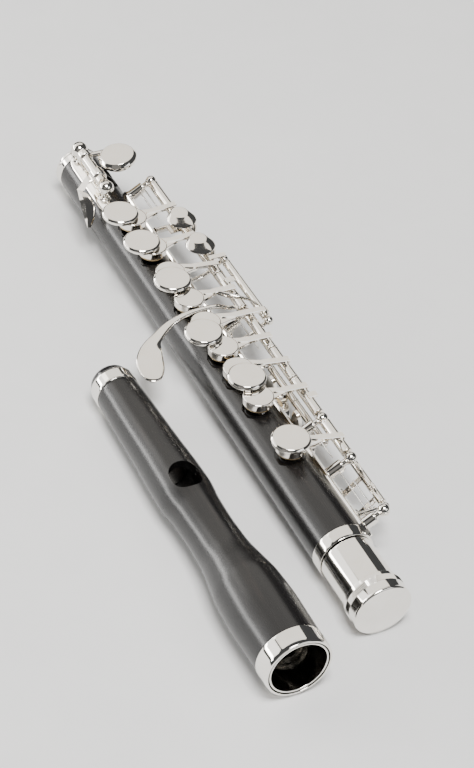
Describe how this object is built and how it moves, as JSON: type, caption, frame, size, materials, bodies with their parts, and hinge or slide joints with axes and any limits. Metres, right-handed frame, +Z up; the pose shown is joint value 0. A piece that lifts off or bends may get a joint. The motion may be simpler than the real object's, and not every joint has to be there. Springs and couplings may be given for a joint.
{
  "type": "piccolo",
  "caption": "Wooden piccolo in two joints laid side by side: a conical keyed body with silver keywork and a tenon cap, and a head joint with an embouchure hole, socket and crown.",
  "frame": {"origin": "centre of the bounding box's base, on the surface the two joints lie on", "axes": "+X along the body joint from its foot to its tenon, +Y towards the side of the hinge rods, +Z up, the side of the finger keys"},
  "size_m": [0.2213, 0.0612, 0.0248],
  "materials": {
    "grenadilla": "satin, oiled, nearly black",
    "silver": "polished silver plate",
    "steel": "polished",
    "pad_skin": "thin tan skin over felt",
    "cork": "matte cork",
    "black_resin": "polished black"
  },
  "bodies": {
    "body_joint": {"body_tube": "grenadilla", "foot_ring": "silver", "body_ring": "silver", "tenon_sleeve": "silver", "main_rib": "silver", "e_flat_rib": "silver", "main_rod": "steel", "outer_rod": "steel", "thumb_rod": "steel", "e_flat_rod": "steel", "needle_spring_1": "steel", "needle_spring_2": "steel", "needle_spring_3": "steel", "needle_spring_4": "steel", "needle_spring_5": "steel", "needle_spring_6": "steel"},
    "d_key": {"d_key": "silver", "d_pad": "pad_skin"},
    "e_key": {"e_key": "silver", "e_pad": "pad_skin"},
    "f_key": {"f_key": "silver", "f_pad": "pad_skin"},
    "f_sharp_key": {"f_sharp_key": "silver", "f_sharp_pad": "pad_skin"},
    "g_lower_key": {"g_lower_key": "silver", "g_lower_pad": "pad_skin"},
    "g_key": {"g_key": "silver", "g_pad": "pad_skin"},
    "a_key": {"a_key": "silver", "a_pad": "pad_skin"},
    "b_flat_key": {"b_flat_key": "silver", "b_flat_pad": "pad_skin"},
    "c_key": {"c_key": "silver", "c_pad": "pad_skin"},
    "g_sharp_key": {"g_sharp_key": "silver", "g_sharp_pad": "pad_skin"},
    "thumb_b_flat_key": {"thumb_b_flat_key": "silver", "thumb_b_flat_pad": "pad_skin"},
    "thumb_b_key": {"thumb_b_key": "silver", "thumb_b_pad": "pad_skin"},
    "trill_d_sharp_key": {"trill_d_sharp_key": "silver", "trill_d_sharp_pad": "pad_skin"},
    "trill_d_key": {"trill_d_key": "silver", "trill_d_pad": "pad_skin"},
    "e_flat_key": {"e_flat_key": "silver", "e_flat_pad": "pad_skin"},
    "b_flat_lever": {"b_flat_lever": "silver"},
    "tenon_cap": {"tenon_cap": "silver"},
    "head_joint": {"head_tube": "grenadilla", "socket_ring": "silver", "socket_liner": "silver", "crown_ring": "silver", "head_cork": "cork", "cork_plate": "silver"},
    "crown_cap": {"crown_cap": "black_resin"}
  },
  "joints": [
    {"name": "d_key_hinge", "type": "hinge", "parent": "body_joint", "child": "d_key", "pos_m": [-0.07235, 0.0244, 0.01745], "axis": [1, 0, 0], "range_deg": [0, 6.1], "stiffness_Nm_per_rad": 0.005, "springref_deg": -34.38},
    {"name": "e_key_hinge", "type": "hinge", "parent": "body_joint", "child": "e_key", "pos_m": [-0.05365, 0.0244, 0.01745], "axis": [1, 0, 0], "range_deg": [0, 6.1], "stiffness_Nm_per_rad": 0.005, "springref_deg": -34.38},
    {"name": "f_key_hinge", "type": "hinge", "parent": "body_joint", "child": "f_key", "pos_m": [-0.03965, 0.0244, 0.01745], "axis": [1, 0, 0], "range_deg": [0, 6.1], "stiffness_Nm_per_rad": 0.005, "springref_deg": -34.38},
    {"name": "f_sharp_key_hinge", "type": "hinge", "parent": "body_joint", "child": "f_sharp_key", "pos_m": [-0.02805, 0.0244, 0.01745], "axis": [1, 0, 0], "range_deg": [0, 6.1], "stiffness_Nm_per_rad": 0.005, "springref_deg": -34.38},
    {"name": "g_lower_key_hinge", "type": "hinge", "parent": "body_joint", "child": "g_lower_key", "pos_m": [-0.01215, 0.0292, 0.01745], "axis": [1, 0, 0], "range_deg": [0, 4.58], "stiffness_Nm_per_rad": 0.005, "springref_deg": -34.38},
    {"name": "g_key_hinge", "type": "hinge", "parent": "body_joint", "child": "g_key", "pos_m": [-0.00475, 0.0244, 0.01745], "axis": [1, 0, 0], "range_deg": [0, 6.1], "stiffness_Nm_per_rad": 0.005, "springref_deg": -34.38},
    {"name": "a_key_hinge", "type": "hinge", "parent": "body_joint", "child": "a_key", "pos_m": [0.01035, 0.0244, 0.01745], "axis": [1, 0, 0], "range_deg": [0, 6.1], "stiffness_Nm_per_rad": 0.005, "springref_deg": -34.38},
    {"name": "b_flat_key_hinge", "type": "hinge", "parent": "body_joint", "child": "b_flat_key", "pos_m": [0.02525, 0.0244, 0.01745], "axis": [1, 0, 0], "range_deg": [0, 6.1], "stiffness_Nm_per_rad": 0.005, "springref_deg": -34.38},
    {"name": "c_key_hinge", "type": "hinge", "parent": "body_joint", "child": "c_key", "pos_m": [0.04345, 0.0244, 0.01745], "axis": [1, 0, 0], "range_deg": [0, 6.1], "stiffness_Nm_per_rad": 0.005, "springref_deg": -34.38},
    {"name": "g_sharp_key_hinge", "type": "hinge", "parent": "body_joint", "child": "g_sharp_key", "pos_m": [-0.01945, 0.0244, 0.01745], "axis": [1, 0, 0], "range_deg": [0, 8], "stiffness_Nm_per_rad": 0.005, "springref_deg": -34.38},
    {"name": "thumb_b_flat_key_hinge", "type": "hinge", "parent": "body_joint", "child": "thumb_b_flat_key", "pos_m": [0.01305, 0.02334, 0.01217], "axis": [1, 0, 0], "range_deg": [-12.5, 0], "stiffness_Nm_per_rad": 0.005, "springref_deg": 34.38},
    {"name": "thumb_b_key_hinge", "type": "hinge", "parent": "body_joint", "child": "thumb_b_key", "pos_m": [0.02915, 0.02334, 0.01217], "axis": [1, 0, 0], "range_deg": [-12.5, 0], "stiffness_Nm_per_rad": 0.005, "springref_deg": 34.38},
    {"name": "trill_d_sharp_key_hinge", "type": "hinge", "parent": "body_joint", "child": "trill_d_sharp_key", "pos_m": [0.00385, 0.0272, 0.01245], "axis": [1, 0, 0], "range_deg": [0, 10], "stiffness_Nm_per_rad": 0.005, "springref_deg": -34.38},
    {"name": "trill_d_key_hinge", "type": "hinge", "parent": "body_joint", "child": "trill_d_key", "pos_m": [0.00175, 0.0272, 0.01245], "axis": [1, 0, 0], "range_deg": [0, 10], "stiffness_Nm_per_rad": 0.005, "springref_deg": -34.38},
    {"name": "e_flat_key_hinge", "type": "hinge", "parent": "body_joint", "child": "e_flat_key", "pos_m": [-0.09305, 0.0078, 0.02065], "axis": [1, 0, 0], "range_deg": [-45, 0], "stiffness_Nm_per_rad": 0.005, "springref_deg": 51.57},
    {"name": "b_flat_lever_hinge", "type": "hinge", "parent": "body_joint", "child": "b_flat_lever", "pos_m": [-0.02615, 0.0292, 0.01745], "axis": [1, 0, 0], "range_deg": [0, 4], "stiffness_Nm_per_rad": 0.005, "springref_deg": -34.38},
    {"name": "tenon_cap_slide", "type": "slide", "parent": "body_joint", "child": "tenon_cap", "axis": [1, 0, 0], "range_m": [0, 0.012]},
    {"name": "head_joint_slide", "type": "slide", "parent": "body_joint", "child": "head_joint", "axis": [0, -1, 0], "range_m": [0, 0.06]},
    {"name": "crown_cap_slide", "type": "slide", "parent": "head_joint", "child": "crown_cap", "axis": [-0.9995, 0, -0.0311], "range_m": [0, 0.012]}
  ],
  "couplings": [
    {"joint": "f_sharp_key_hinge", "follows": "f_key_hinge", "ratio": 1},
    {"joint": "b_flat_key_hinge", "follows": "a_key_hinge", "ratio": 1},
    {"joint": "g_lower_key_hinge", "follows": "g_key_hinge", "ratio": 0.75}
  ]
}
